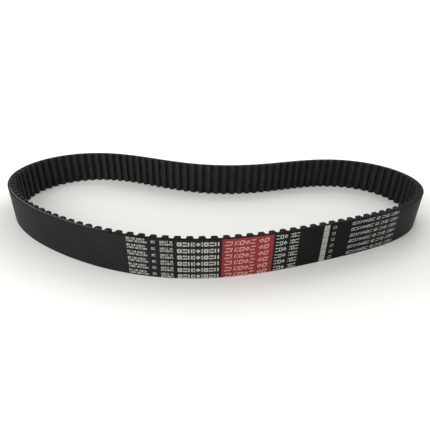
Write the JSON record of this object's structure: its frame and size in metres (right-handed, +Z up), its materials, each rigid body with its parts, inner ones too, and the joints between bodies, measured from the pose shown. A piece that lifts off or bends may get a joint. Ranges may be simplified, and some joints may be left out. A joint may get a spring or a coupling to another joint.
{
  "type": "toothed timing belt",
  "caption": "Endless rubber toothed belt with glass tension cords, a fabric-faced toothed inside and a smooth printed back, lying relaxed on its edge.",
  "frame": {"origin": "centre of the loop's bounding box at the lower cut edge, which stands on the floor", "axes": "+X along the long way of the loop, +Y from the printed front to the dented back, +Z up across the belt's width"},
  "size_m": [0.3748, 0.1793, 0.03],
  "materials": {
    "facing_fabric": "black woven nylon facing, matt, slightly polished on the tooth tips",
    "tooth_rubber": "matt black rubber, seen only on the cut edges",
    "glass_cord": "twisted glass cord with a tan latex dip",
    "backing_rubber": "satin black rubber, finely ground",
    "print_white": "thin greyish white transfer print",
    "print_red": "thin dark red transfer print"
  },
  "bodies": {
    "root": {"facing_fabric": "facing_fabric", "tooth_rubber": "tooth_rubber", "tension_cord_s": "glass_cord", "tension_cord_z": "glass_cord", "backing_rubber": "backing_rubber", "print_note_block": "print_white", "print_code_column": "print_white", "print_origin_block": "print_white", "print_word_rows": "print_white", "print_red_panel": "print_red", "print_size_rows": "print_white", "print_batch_strip": "print_white", "print_letter_column": "print_white", "print_standard_rows": "print_white"}
  },
  "joints": []
}
